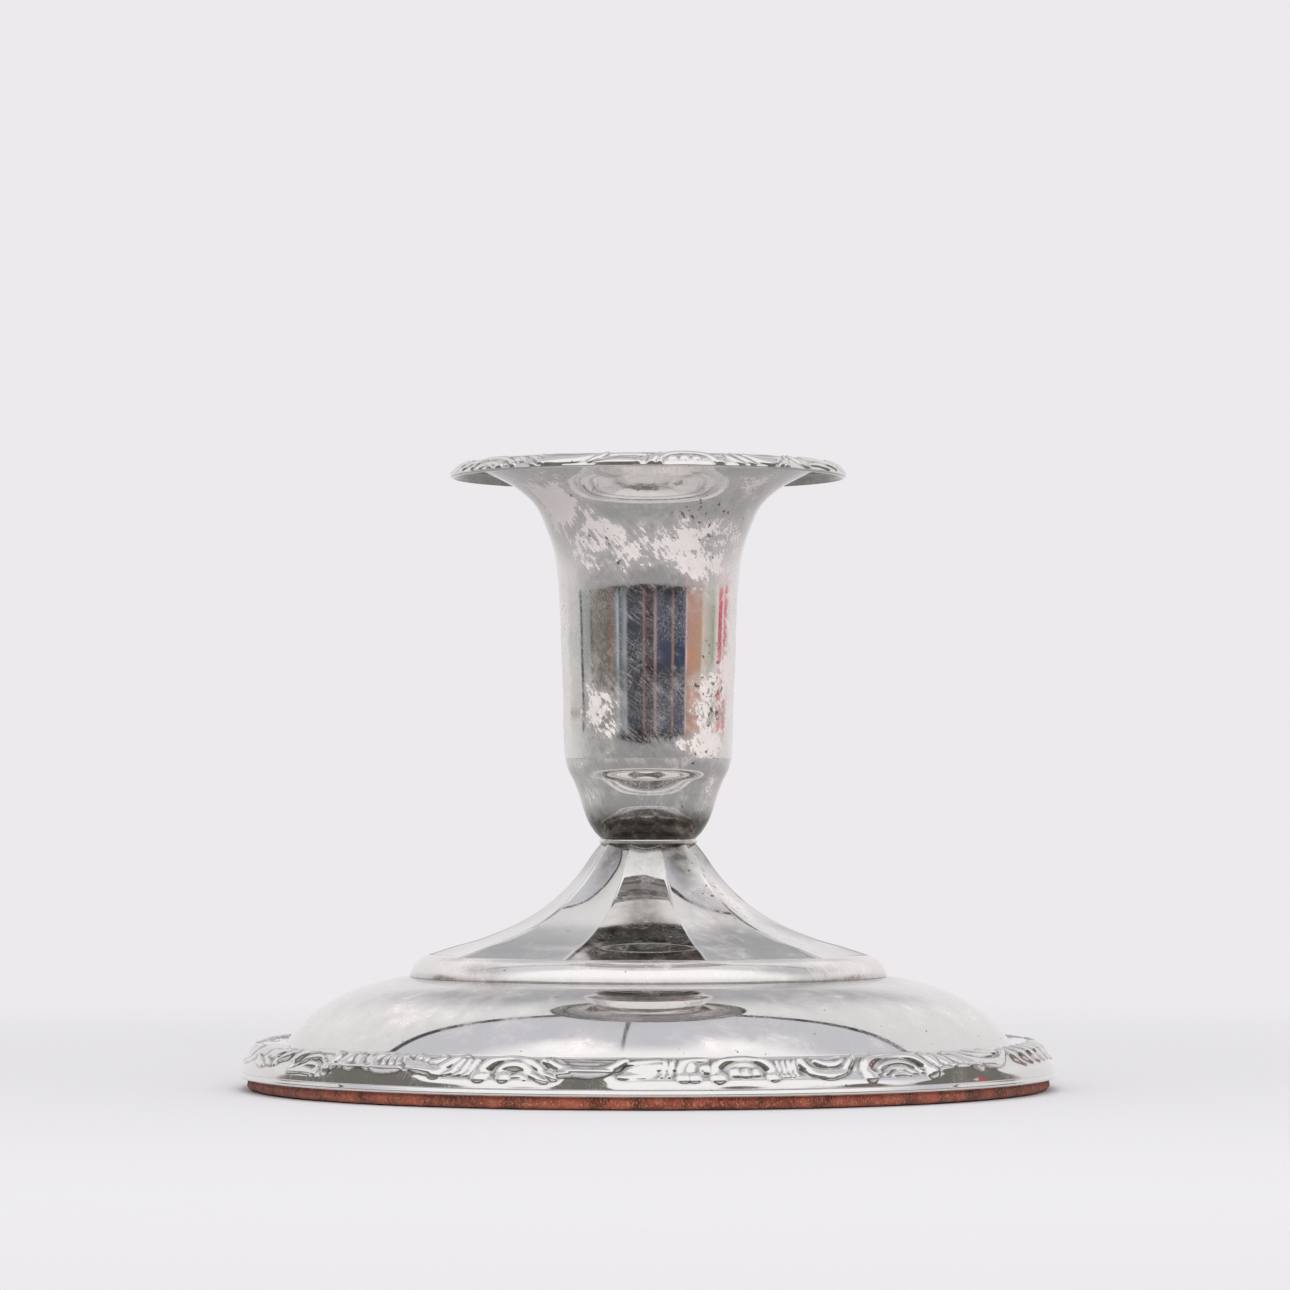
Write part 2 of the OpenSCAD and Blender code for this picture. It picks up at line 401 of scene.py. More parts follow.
def silver_material(name, bloom_level=0.46, soft=0.07, streak_turn=(0, 35, 0), streaky=0.9, flaky=0.9,
                    haze=0.0, veil=0.36, scratched=0.52):
    """Old polished silver: mirror, ragged milky bloom, specks, hairline scratches, and a dark brown that is
    patina in the chased hollows and painted shade in creases and on undersides.
    """
    made, g = material(name)
    here = g.here()
    milky = bloom_mask(g, here, bloom_level, soft, streak_turn, streaky, flaky, veil, haze)
    speck = speck_mask(g, here)
    scratch = scratch_mask(g, here, scratched)
    # How far the colour goes to the dark brown: patina in the borders' hollows, and painted shade where the
    # pieces mark it
    tarnish_and_shade = g.times(g.attribute("patina_and_painted_shade"), g.lerp(g.noise(here, 700, 4), 0.2, 1.2), clamp=True)

    colour = g.mix(milky, MIRROR, MILK)
    colour = g.mix(g.times(scratch, 0.45), colour, SCRATCH)
    colour = g.mix(g.times(speck, 0.85), colour, SPECK)
    colour = g.mix(g.times(tarnish_and_shade, 0.92), colour, PATINA_AND_SHADE_COLOUR)
    metallic = g.lerp(g.math("MAXIMUM", milky, g.times(scratch, 0.22)), 1.0, 0.16)
    roughness = g.lerp(milky, 0.02, 0.42)
    roughness = g.math("ADD", roughness, g.times(g.noise(here, 350, 3), 0.025))
    roughness = g.math("MAXIMUM", roughness, g.times(tarnish_and_shade, 0.12))
    roughness = g.math("MAXIMUM", roughness, g.times(scratch, 0.3))

    height = g.math("ADD", g.times(scratch, -0.6), g.times(milky, 0.5))
    bump = g.node("ShaderNodeBump", {"Strength": 0.12, "Distance": 0.00003, "Height": height})
    shader = g.node("ShaderNodeBsdfPrincipled", {
        "Base Color": colour, "Metallic": metallic, "Roughness": roughness, "Normal": bump.outputs[0]})
    finish_material(g, shader)
    return made


def steel_material():
    made, g = material("dull_steel")
    here = g.here()
    grain = g.noise(g.moved(here, (0, 0, 20), (1, 0.1, 1)), 2500, 3)
    shader = g.node("ShaderNodeBsdfPrincipled", {
        "Base Color": g.mix(grain, (0.42, 0.41, 0.39), (0.60, 0.59, 0.57)),
        "Metallic": 1.0, "Roughness": g.lerp(grain, 0.28, 0.48)})
    finish_material(g, shader)
    return made


def board_material():
    made, g = material("pressed_board")
    here = g.here()
    fibres = g.noise(g.moved(here, (0, 0, 0), (1, 1, 4)), 1200, 6, 0.65)
    bump = g.node("ShaderNodeBump", {"Strength": 0.4, "Distance": 0.0001, "Height": fibres})
    shader = g.node("ShaderNodeBsdfPrincipled", {
        "Base Color": g.mix(fibres, (0.30, 0.23, 0.15), (0.52, 0.43, 0.31)),
        "Roughness": 0.85, "Normal": bump.outputs[0]})
    finish_material(g, shader)
    return made


def filler_material():
    made, g = material("pitch_and_plaster")
    here = g.here()
    lumps = g.noise(here, 400, 6, 0.6)
    bump = g.node("ShaderNodeBump", {"Strength": 0.5, "Distance": 0.0002, "Height": lumps})
    shader = g.node("ShaderNodeBsdfPrincipled", {
        "Base Color": g.mix(lumps, (0.05, 0.045, 0.04), (0.22, 0.20, 0.18)),
        "Roughness": g.lerp(lumps, 0.5, 0.8), "Normal": bump.outputs[0]})
    finish_material(g, shader)
    return made


def felt_material():
    """Worn red-brown baize."""
    made, g = material("baize")
    here = g.here()
    fibre = g.noise(g.moved(here, (0, 0, 40), (1, 1, 0.5)), 5200, 4, 0.7)
    blotch = g.noise(here, 260, 5, 0.65, 0.5)
    colour = g.mix(g.step(blotch, 0.36, 0.66), (0.11, 0.026, 0.017), (0.40, 0.098, 0.058))
    colour = g.mix(g.times(g.step(fibre, 0.50, 0.66), 0.8), colour, (0.56, 0.31, 0.20))
    bump = g.node("ShaderNodeBump", {"Strength": 0.7, "Distance": 0.0003, "Height": fibre})
    shader = g.node("ShaderNodeBsdfPrincipled", {
        "Base Color": colour, "Roughness": 0.95, "Sheen Weight": 0.12, "Sheen Roughness": 0.5,
        "Normal": bump.outputs[0]})
    finish_material(g, shader)
    return made


# ---------------------------------------------------------------- the turned shells

# A spot is (degrees, mm, half-width in degrees, half-height in mm, strength); those behind are invented
TUBE_SPOTS = [
    (-58, 82.6, 24, 3.8, 0.64), (-36, 75.5, 24, 5.2, 0.50), (-8, 77.0, 15, 6.0, 0.36),
    (34, 76.0, 30, 6.2, 0.58), (70, 63.0, 13, 18, 0.50), (-72, 65.0, 13, 11, 0.38),
    (-33, 53.5, 20, 4.2, 0.44), (46, 52.5, 18, 8, 0.47), (-77, 52.5, 16, 7, 0.42),
    (62, 84.2, 26, 2.2, 0.34), (110, 60.0, 30, 12, 0.55), (180, 72.0, 40, 8, 0.62),
    (-120, 56.0, 30, 8, 0.60), (-160, 80.0, 25, 5, 0.60), (150, 50.0, 22, 4, 0.55),
    (0, 47.8, ALL_ROUND, 2.4, 0.17),
]
TUBE_SPECKS = [(46, 55, 15, 9, 1.0), (33, 78, 20, 5, 0.6), (-30, 75, 20, 4, 0.5)]
DOME_SPOTS = [
    (-36, 13, 18, 3.2, 0.28), (-62, 11, 22, 4, 0.26), (12, 8.4, 12, 1.2, 0.34), (62, 12, 22, 3.5, 0.28),
    (30, 13.5, 14, 2.0, 0.24), (-12, 8.0, 10, 1.0, 0.26), (100, 11, 18, 4, 0.3), (170, 12, 30, 3, 0.34),
    (-130, 11, 26, 3, 0.34),
]
STEM_SPOTS = [(38, 27, 12, 4, 0.34), (64, 27, 16, 6, 0.50), (25, 22, 10, 3, 0.3), (-70, 24, 14, 5, 0.3)]
# Painted shade on the stem: a dark ring all round its top under the neck ring, and dark patches on some
# flutes that paint in dark reflections
STEM_SHADE = [
    (0, 33.8, ALL_ROUND, 3.4, 0.60), (-3, 25.6, 11, 3.2, 0.75), (50, 24, 16, 4, 0.25),
    (34, 32.0, 13, 5.0, 0.70), (-41, 32.0, 12, 5.0, 0.55), (33, 23.5, 13, 4.5, 0.22), (140, 32, 60, 4, 0.5),
]
BOWL_SPOTS = [
    (-58, 42, 18, 4.0, 0.36), (60, 41, 18, 4.5, 0.42), (150, 41, 40, 4, 0.4),
    (0, 46.2, ALL_ROUND, 0.8, 0.2),
]


def build_dome(silver):
    """The foot's dome, which eases out of the skirt toward a flat top under the collar."""
    inward = np.linspace(0, SKIRT_R - COLLAR_R - 0.1, 60)
    rise = 1 - np.exp(-inward / DOME_EASE)
    outer = np.stack([SKIRT_R - inward, SKIRT_Z + (COLLAR_LOW - SKIRT_Z) * rise / rise[-1]], 1)
    inner = beside(outer, SHEET)
    flange_z = WIRE_Z + SHEET
    hem = [(inner[0][0], WIRE_Z), (HEM_R, WIRE_Z), (HEM_R, flange_z), (SKIRT_R, flange_z)]
    lip = [(DOME_HOLE_R, COLLAR_LOW), (DOME_HOLE_R, COLLAR_LOW - SHEET)]
    # The dark ring all round the dome's top, under the collar, is painted shade.
    shell("foot_dome_silver", "foot_dome", np.vstack([hem, outer, lip, inner[::-1]]), 512, silver,
          DOME_SPOTS, [(95, 12, 30, 6, 0.35)], [(0, COLLAR_LOW, ALL_ROUND, 0.5, 0.5)], waviness=0.006, seed=3)


def build_collar(silver):
    """The quarter-round step between the dome and the stem."""
    outer = spline([
        (COLLAR_R - 0.12, COLLAR_LOW), (COLLAR_R, COLLAR_LOW + 0.12), (COLLAR_R - 0.3, 16.7),
        (COLLAR_R - 0.8, 17.5), (COLLAR_R - 1.6, 18.2), (COLLAR_R - 2.6, COLLAR_TOP)], 0.1)
    inner = between(beside(outer, SHEET), COLLAR_LOW, COLLAR_TOP - SHEET)
    seat = [(COLLAR_HOLE_R, COLLAR_TOP), (COLLAR_HOLE_R, COLLAR_TOP - SHEET)]
    # The ring all round the collar's lower edge is painted shade where it meets the dome; the two short dark
    # marks higher up are on the silver itself.
    smudges_and_shade = [(0, COLLAR_LOW, ALL_ROUND, 0.7, 0.45), (-44, 17.4, 8, 0.7, 0.45), (39, 17.3, 13, 0.7, 0.45)]
    shell("step_collar_silver", "step_collar", np.vstack([outer, seat, inner[::-1]]), 448, silver,
          [(-50, 17, 12, 3, 0.3), (55, 17, 14, 3, 0.3)], shade_and_smudges=smudges_and_shade, seed=5)


def build_stem(silver):
    """The fluted cone: concave flutes that meet in sharp ridges."""
    ridge = spline([
        (30.8, COLLAR_TOP), (27.4, 19.8), (23.9, 20.8), (20.3, 22.2), (17.4, 23.6),
        (14.3, 25.6), (11.7, 27.9), (9.6, 30.3), (7.8, 32.9), (6.7, STEM_TOP)], 0.35)
    inner = between(beside(ridge, SHEET), COLLAR_TOP, STEM_TOP - SHEET)
    plate = [(HOLE_R, STEM_TOP), (HOLE_R, STEM_TOP - SHEET)]
    loop = np.vstack([ridge, plate, inner[::-1]])
    loop = loop[np.linalg.norm(loop - np.roll(loop, 1, 0), axis=1) > MEETS]
    fluted = np.where(loop[:, 0] > HOLE_R + 0.1, 1.0, 0.0)[:, None]
    half = math.pi / FLUTES
    per_flute = 44
    # across a flute from -1 to 1, with the columns closer together toward the ridges
    inside = np.arange(per_flute) / per_flute * 2 - 1
    inside = np.sign(inside) * (1 - (1 - np.abs(inside)) ** 1.35)
    angle = np.concatenate([half * (2 * k + 1 + inside) for k in range(FLUTES)]) + math.radians(RIDGE_ANGLE)
    across = np.tile(inside, FLUTES)
    # a flat side of the ten, hollowed, and a fine raised line on each ridge
    share = math.cos(half) / np.cos(across * half) - FLUTE_HOLLOW * (1 - across ** 2)
    share += 0.009 * np.exp(-((1 - np.abs(across)) / 0.035) ** 2)
    radius = loop[:, :1] * (1 + fluted * (share[None] - 1))
    height = np.repeat(loop[:, 1:], len(angle), 1)
    mesh = grid_mesh("fluted_cone_silver", turned_points(radius, height, angle))
    wear_and_shade(mesh, angle, loop[:, 1], STEM_SPOTS, [(58, 29, 16, 7, 1.0)], STEM_SHADE)
    place("fluted_cone_silver", mesh, "fluted_cone", silver)


def build_neck(silver):
    """The flat ring between the stem and the socket."""
    edge = spline([(RING_R - 0.2, STEM_TOP), (RING_R, STEM_TOP + 0.25), (RING_R, RING_TOP - 0.25),
                   (RING_R - 0.2, RING_TOP)], 0.08)
    loop = np.vstack([[(HOLE_R, STEM_TOP)], edge, [(HOLE_R, RING_TOP)]])
    shell("neck_ring_silver", "neck_ring", loop, 256, silver, waviness=0.004, seed=7)


def build_bowl(silver):
    """The socket's cup, with the ledge that carries the floor; its inner wall ends under the ledge."""
    outer = spline([
        (6.7, RING_TOP), (7.6, 36.05), (8.5, 37.5), (9.2, 39.3), (9.85, 41.4),
        (10.6, 43.3), (11.35, 44.8), (SHOULDER_R, FLOOR_Z)], 0.2)
    ledge = FLOOR_Z - SHEET
    roof = ledge - SHEET
    inner = beside(outer, SHEET)
    meets_roof = (np.interp(roof, inner[:, 1], inner[:, 0]), roof)
    inner = between(np.vstack([inner[inner[:, 1] < roof], [meets_roof]]), RING_TOP + SHEET, roof)
    well_r = BORE_R - 0.2
    rest = [(well_r, FLOOR_Z), (well_r, ledge), (LEDGE_R, ledge), (LEDGE_R, roof)]
    loop = np.vstack([[(HOLE_R, RING_TOP)], outer, rest, inner[::-1], [(HOLE_R, RING_TOP + SHEET)]])
    # The dark band all round the bowl's foot, above the neck ring, is painted shade standing for the stem's
    # dark reflection.
    shell("socket_bowl_silver", "socket_bowl", loop, 384, silver, BOWL_SPOTS,
          shade_and_smudges=[(0, 36.0, ALL_ROUND, 2.9, 1.5)], waviness=0.006, seed=9)


def build_tube(silver):
    """The candle tube: a straight bore, and above it a sheet of even thickness that flares into the mouth."""
    outer = spline([
        (SHOULDER_R, FLOOR_Z), (12.0, 50.5), (12.05, 54.7), (12.3, 60.3), (12.45, 65.6), (12.75, 71),
        (13.3, 75.2), (14.4, 78.7), (16.1, 82.2), (19.1, 84.8), (MOUTH_R, MOUTH_Z)])
    inner = beside(outer, SHEET)
    inner = between(inner[inner[:, 1] > FLOOR_Z + BORE_LENGTH + 2], 0, MOUTH_Z)
    bore = [(BORE_R, FLOOR_Z + BORE_LENGTH), (BORE_R, FLOOR_Z)]
    shell("socket_tube_silver", "socket_tube", np.vstack([outer, inner[::-1], bore]), 512, silver,
          TUBE_SPOTS, TUBE_SPECKS, waviness=0.006, seed=11)


# ---------------------------------------------------------------- the chased borders

# A stroke is (height, half-widths from its start to its end, line of points); a point is (degrees round the
# border, mm up it from its lower edge). A bead is (degrees, mm up the border, radius, height).
# WIDEN and FLATTEN turn the listed half-widths and heights into those of the relief.
WIDEN = 1.5
FLATTEN = 0.72

FOOT_STROKES = [
    # leaf strokes at the left limb
    (0.50, (0.25, 0.55, 0.3), [(-90, 1.2), (-86, 3.0), (-80, 5.2)]),
    (0.50, (0.25, 0.60, 0.3), [(-86, 1.1), (-81.5, 2.8), (-76, 5.0)]),
    (0.45, (0.25, 0.55, 0.2), [(-82, 1.0), (-78, 2.2), (-73.5, 4.2)]),
    (0.40, (0.30, 0.50, 0.2), [(-79.5, 4.6), (-74, 6.2), (-68, 6.9)]),
    # broad lobed leaf with a curl
    (0.55, (0.35, 0.70, 0.4), [(-69, 1.2), (-73, 2.2), (-73.5, 3.6), (-70, 4.9), (-65.5, 5.4), (-63.5, 4.6)]),
    (0.50, (0.30, 0.60, 0.3), [(-66.5, 1.5), (-69, 2.6), (-67.5, 3.7), (-64.5, 4.0), (-62, 4.9)]),
    (0.45, (0.25, 0.45, 0.2), [(-65, 2.3), (-63.5, 3.1), (-61, 4.0), (-59.5, 5.2)]),
    (0.40, (0.25, 0.50, 0.3), [(-64, 6.3), (-60, 6.9), (-55, 7.0)]),
    # arch with nested arcs
    (0.62, (0.40, 0.62, 0.62, 0.5),
     [(-59.3, 1.2), (-58.6, 2.7), (-57, 4.2), (-53.5, 5.7), (-50, 5.7), (-48.5, 4.3), (-49, 2.9),
      (-49.8, 1.8)]),
    (0.36, (0.20, 0.36, 0.2), [(-58, 1.9), (-56, 3.2), (-52.8, 3.9), (-51, 2.9), (-50.9, 1.8)]),
    (0.36, (0.20, 0.36, 0.2), [(-57.3, 1.4), (-55, 2.4), (-52.6, 2.2), (-51.9, 1.3)]),
    (0.34, (0.30, 0.50, 0.3), [(-59.5, 0.7), (-56, 1.1), (-53, 0.7)]),
    # double lobes on a wavy strand
    (0.50, (0.35, 0.85, 0.4), [(-47.2, 2.6), (-46.2, 3.8), (-45.3, 5.4)]),
    (0.50, (0.35, 0.80, 0.4), [(-44.3, 5.6), (-43.9, 4.2), (-43.0, 2.7)]),
    (0.42, (0.30, 0.40, 0.3), [(-48.4, 1.8), (-46.4, 2.5), (-44.6, 2.0), (-42.6, 2.4), (-41.0, 1.9)]),
    (0.34, (0.40, 0.60, 0.3), [(-42.3, 5.6), (-41.9, 4.2), (-41.4, 2.9)]),
    # slanted ribs on a strand
    (0.55, (0.45, 0.50, 0.4),
     [(-38.6, 5.8), (-40.3, 5.0), (-40.8, 3.5), (-40.0, 2.2), (-38.0, 1.8), (-35.6, 2.1)]),
    (0.42, (0.30, 0.42, 0.3), [(-37.4, 5.6), (-38.9, 4.4), (-38.9, 2.9)]),
    (0.42, (0.30, 0.42, 0.3), [(-36.4, 5.6), (-37.7, 4.3), (-37.6, 2.8)]),
    (0.42, (0.30, 0.42, 0.3), [(-35.5, 5.4), (-36.5, 4.2), (-36.3, 2.8)]),
    # U scroll that holds a bead and two lobes
    (0.62, (0.50, 0.60, 0.75, 0.45),
     [(-33.9, 6.1), (-35.2, 5.0), (-35.0, 3.7), (-33.6, 2.7), (-31.6, 2.3), (-29.8, 2.1), (-28.6, 3.0),
      (-27.0, 4.6), (-26, 5.8)]),
    (0.50, (0.40, 0.50, 0.35), [(-30.9, 3.7), (-29.7, 4.0), (-28.9, 5.2), (-30.0, 6.1)]),
    (0.36, (0.25, 0.40, 0.2), [(-33.6, 3.6), (-32.2, 3.2), (-30.8, 2.9)]),
    # fan of four ribs
    (0.45, (0.25, 0.50, 0.35), [(-28.4, 1.4), (-27.1, 2.6), (-26.0, 4.4)]),
    (0.45, (0.25, 0.50, 0.35), [(-26.8, 1.3), (-25.7, 2.6), (-25.0, 4.5)]),
    (0.45, (0.25, 0.48, 0.35), [(-25.4, 1.3), (-24.6, 2.7), (-24.0, 4.6)]),
    # double arch
    (0.66, (0.75, 0.55, 0.62, 0.3),
     [(-23.3, 1.5), (-22.7, 3.0), (-21.5, 4.4), (-19.6, 5.3), (-17.6, 5.0), (-15.7, 3.6), (-14.1, 2.0),
      (-12.6, 0.9)]),
    (0.60, (0.40, 0.55, 0.60, 0.3),
     [(-19.9, 1.3), (-20.5, 2.3), (-19.4, 3.3), (-17.7, 3.4), (-16.4, 2.5), (-15.1, 1.3), (-13.8, 0.5)]),
    (0.34, (0.25, 0.50, 0.3), [(-18.4, 1.3), (-17.4, 1.7), (-16.6, 0.9)]),
    # hanging strand between two curled ends
    (0.72, (0.45, 0.62, 0.66, 0.60, 0.5),
     [(-13.4, 4.0), (-12.0, 3.0), (-10.2, 2.3), (-8.2, 2.1), (-6.2, 2.3), (-4.6, 3.2), (-3.2, 4.6)]),
    (0.55, (0.45, 0.40, 0.25), [(-14.3, 4.5), (-13.5, 5.2), (-12.4, 4.6), (-11.4, 3.6)]),
    (0.50, (0.40, 0.35, 0.15), [(-13.4, 2.4), (-12.2, 1.7), (-10.4, 1.4)]),
    # broad leaf and strokes
    (0.48, (0.30, 0.85, 1.00, 0.7), [(-3.8, 1.3), (-2.0, 2.1), (-0.4, 2.7), (1.2, 3.2)]),
    (0.44, (0.30, 0.70, 0.6), [(-2.4, 3.9), (-0.6, 4.4), (1.5, 5.0)]),
    (0.40, (0.25, 0.36, 0.2), [(2.2, 4.9), (2.2, 3.2), (1.7, 1.4)]),
    (0.44, (0.25, 0.42, 0.2), [(3.3, 5.0), (3.1, 3.2), (2.7, 1.4)]),
    # tear-drop on two beads
    (0.60, (0.35, 0.60, 0.45), [(4.3, 1.5), (4.3, 3.0), (5.0, 4.5), (6.0, 5.0), (7.6, 5.0)]),
    (0.46, (0.55, 0.65, 0.4), [(5.4, 1.6), (5.5, 2.8), (5.8, 3.8)]),
    # arch over three beads
    (0.64, (0.65, 0.50, 0.56, 0.50, 0.65),
     [(9.4, 1.5), (8.9, 2.8), (9.7, 4.1), (11.2, 5.0), (13.5, 5.3), (15.4, 4.4), (16.7, 3.0), (16.9, 1.5)]),
    # fine fan
    (0.34, (0.20, 0.30, 0.2), [(18.4, 1.2), (17.8, 2.6), (17.7, 4.4)]),
    (0.34, (0.20, 0.30, 0.2), [(19.0, 1.2), (18.6, 2.6), (18.5, 4.5)]),
    (0.34, (0.20, 0.30, 0.2), [(19.7, 1.3), (19.4, 2.7), (19.3, 4.6)]),
    (0.34, (0.20, 0.30, 0.2), [(20.4, 1.5), (20.1, 2.8), (20.1, 4.6)]),
    # U strand with a leaf over it
    (0.66, (0.40, 0.62, 0.72, 0.50, 0.4),
     [(21.0, 4.4), (21.8, 2.8), (23.4, 1.8), (25.4, 1.6), (27.2, 2.2), (28.2, 3.5), (29.3, 5.2)]),
    (0.46, (0.30, 0.60, 0.3), [(23.2, 4.2), (24.6, 3.5), (26.2, 3.4), (27.4, 4.2)]),
    (0.36, (0.30, 0.50, 0.3), [(22.8, 5.6), (25.0, 5.0), (27.4, 5.8)]),
    # shell arch with nested arcs
    (0.66, (0.70, 0.58, 0.62, 0.56, 0.6),
     [(31.2, 1.3), (30.8, 2.7), (31.6, 4.1), (33.6, 5.2), (36.4, 5.5), (39.2, 4.4), (41.0, 2.8),
      (42.0, 1.3)]),
    (0.36, (0.25, 0.38, 0.25), [(32.6, 1.5), (33.6, 2.9), (36.5, 3.6), (39.0, 2.7), (40.0, 1.4)]),
    (0.36, (0.25, 0.36, 0.25), [(33.8, 1.4), (35.0, 2.4), (37.4, 2.4), (38.9, 1.3)]),
    (0.34, (0.25, 0.45, 0.25), [(35.0, 1.1), (36.4, 1.5), (37.8, 1.0)]),
    # leaf lobes
    (0.46, (0.35, 0.65, 0.3), [(41.4, 5.6), (42.6, 4.2), (43.5, 2.3)]),
    (0.46, (0.35, 0.70, 0.3), [(43.6, 5.4), (44.4, 4.0), (46.2, 2.2)]),
    (0.40, (0.25, 0.50, 0.2), [(45.6, 4.6), (48.5, 3.0), (51.8, 1.3)]),
    # long U strand under small leaves
    (0.62, (0.40, 0.55, 0.60, 0.5),
     [(46.4, 5.6), (48.6, 3.8), (52.0, 2.6), (56.0, 2.3), (59.0, 3.0), (60.6, 4.6)]),
    (0.42, (0.25, 0.50, 0.2), [(48.8, 5.6), (52.0, 4.2), (56.6, 3.8)]),
    (0.42, (0.25, 0.50, 0.2), [(51.8, 6.3), (55.0, 5.0), (58.6, 4.6)]),
    (0.40, (0.25, 0.45, 0.2), [(56.0, 6.6), (58.4, 5.8), (60.8, 6.0)]),
    # curved strokes at the right limb
    (0.46, (0.25, 0.50, 0.2), [(61.8, 5.9), (63.2, 3.8), (66.4, 1.6)]),
    (0.46, (0.25, 0.50, 0.2), [(64.8, 6.3), (66.4, 4.2), (69.6, 1.8)]),
    (0.46, (0.25, 0.50, 0.2), [(68.0, 6.5), (70.0, 4.4), (73.6, 1.8)]),
    (0.46, (0.25, 0.50, 0.2), [(71.6, 6.6), (74.0, 4.5), (77.8, 1.9)]),
    (0.46, (0.25, 0.50, 0.2), [(75.6, 6.6), (78.4, 4.5), (82.6, 1.9)]),
    (0.46, (0.25, 0.50, 0.2), [(80.2, 6.6), (83.4, 4.4), (87.6, 2.0)]),
    (0.40, (0.25, 0.50, 0.2), [(84.6, 6.8), (87.6, 5.4), (91.0, 4.4)]),
]
FOOT_BEADS = [
    (-49.8, 1.5, 0.75, 0.60), (-33.2, 4.9, 0.70, 0.62), (-32.0, 4.4, 0.55, 0.45), (-29.9, 2.0, 0.95, 0.62),
    (-23.2, 1.7, 1.00, 0.66), (-19.7, 1.4, 0.80, 0.62), (-13.4, 4.3, 0.60, 0.55), (4.7, 1.5, 0.80, 0.62),
    (6.1, 1.5, 0.80, 0.62), (7.7, 2.9, 0.65, 0.55), (9.4, 1.5, 0.85, 0.66), (11.7, 2.2, 0.65, 0.58),
    (13.1, 2.1, 0.70, 0.60), (14.6, 2.2, 0.60, 0.52), (16.9, 1.5, 0.75, 0.60), (31.2, 1.3, 0.85, 0.62),
    (41.6, 1.5, 0.80, 0.58), (-65.2, 2.2, 0.60, 0.50), (-52.6, 0.8, 0.55, 0.40), (60.6, 4.8, 0.70, 0.50),
]

# The same family of motifs, smaller, up the top border from its outer edge
RIM_STROKES = [
    (0.28, (0.18, 0.34, 0.2), [(-86, 0.5), (-80, 1.5), (-72, 2.8)]),
    (0.28, (0.18, 0.34, 0.2), [(-79, 0.4), (-73, 1.3), (-66, 2.5)]),
    (0.28, (0.18, 0.34, 0.2), [(-72, 0.4), (-67, 1.2), (-61, 2.2)]),
    (0.36, (0.30, 0.36, 0.36, 0.3), [(-62, 0.4), (-60, 1.6), (-55, 2.6), (-49, 2.7), (-45, 1.9), (-42, 0.9)]),
    (0.22, (0.20, 0.26, 0.2), [(-57, 0.6), (-54, 1.4), (-50, 1.4), (-48, 0.6)]),
    (0.26, (0.16, 0.30, 0.2), [(-41, 2.6), (-38, 1.8), (-34, 0.6)]),
    (0.26, (0.16, 0.30, 0.2), [(-37, 2.8), (-34, 2.0), (-31, 0.8)]),
    (0.36, (0.25, 0.62, 0.6, 0.3), [(-33, 1.2), (-27, 1.5), (-20, 1.7), (-15, 2.4)]),
    (0.34, (0.2, 0.36, 0.2), [(-17, 1.0), (-14.5, 2.0), (-12, 3.2)]),
    (0.34, (0.25, 0.42, 0.3), [(-14.5, 0.7), (-9, 1.1), (-3, 1.0)]),
    (0.26, (0.2, 0.30, 0.2), [(-11, 2.4), (-6, 2.7), (-1, 2.4)]),
    (0.36, (0.36, 0.50, 0.3), [(0.5, 0.6), (1.6, 1.6), (3.6, 2.9)]),
    (0.38, (0.34, 0.34, 0.34, 0.34), [(3.0, 0.7), (4.2, 2.2), (8, 3.1), (13, 3.2), (17, 2.6), (19.4, 1.2)]),
    (0.28, (0.18, 0.32, 0.2), [(22.5, 2.9), (24.5, 1.8), (28, 0.6)]),
    (0.28, (0.18, 0.32, 0.2), [(25, 3.0), (27.5, 2.0), (31.5, 0.7)]),
    (0.38, (0.25, 0.65, 0.65, 0.3), [(29, 2.6), (33, 1.9), (38, 1.6), (42, 2.2)]),
    (0.30, (0.2, 0.36, 0.2), [(41, 0.9), (44, 1.8), (45, 3.0)]),
    (0.34, (0.2, 0.36, 0.2), [(46.5, 3.0), (49, 1.8), (53, 0.5)]),
    (0.34, (0.3, 0.52, 0.3), [(52, 2.7), (58, 2.5), (65, 2.0), (71, 1.1)]),
    (0.28, (0.2, 0.34, 0.2), [(54, 1.3), (60, 1.3), (67, 0.6)]),
    (0.28, (0.18, 0.32, 0.2), [(70, 3.0), (74, 1.8), (79, 0.7)]),
    (0.28, (0.18, 0.32, 0.2), [(76, 3.1), (80, 1.9), (85, 0.7)]),
    (0.28, (0.18, 0.32, 0.2), [(82, 3.1), (86, 1.9), (91, 0.8)]),
]
RIM_BEADS = [
    (-52, 0.7, 0.42, 0.32), (-47.5, 1.0, 0.40, 0.30), (-3.5, 0.9, 0.45, 0.34), (1.0, 0.7, 0.50, 0.34),
    (7.0, 1.7, 0.44, 0.34), (10.5, 1.8, 0.46, 0.36), (14.0, 1.7, 0.42, 0.34), (20.6, 0.9, 0.55, 0.38),
    (43.4, 0.8, 0.40, 0.30), (-33.0, 2.8, 0.40, 0.28), (71, 1.0, 0.45, 0.30),
]


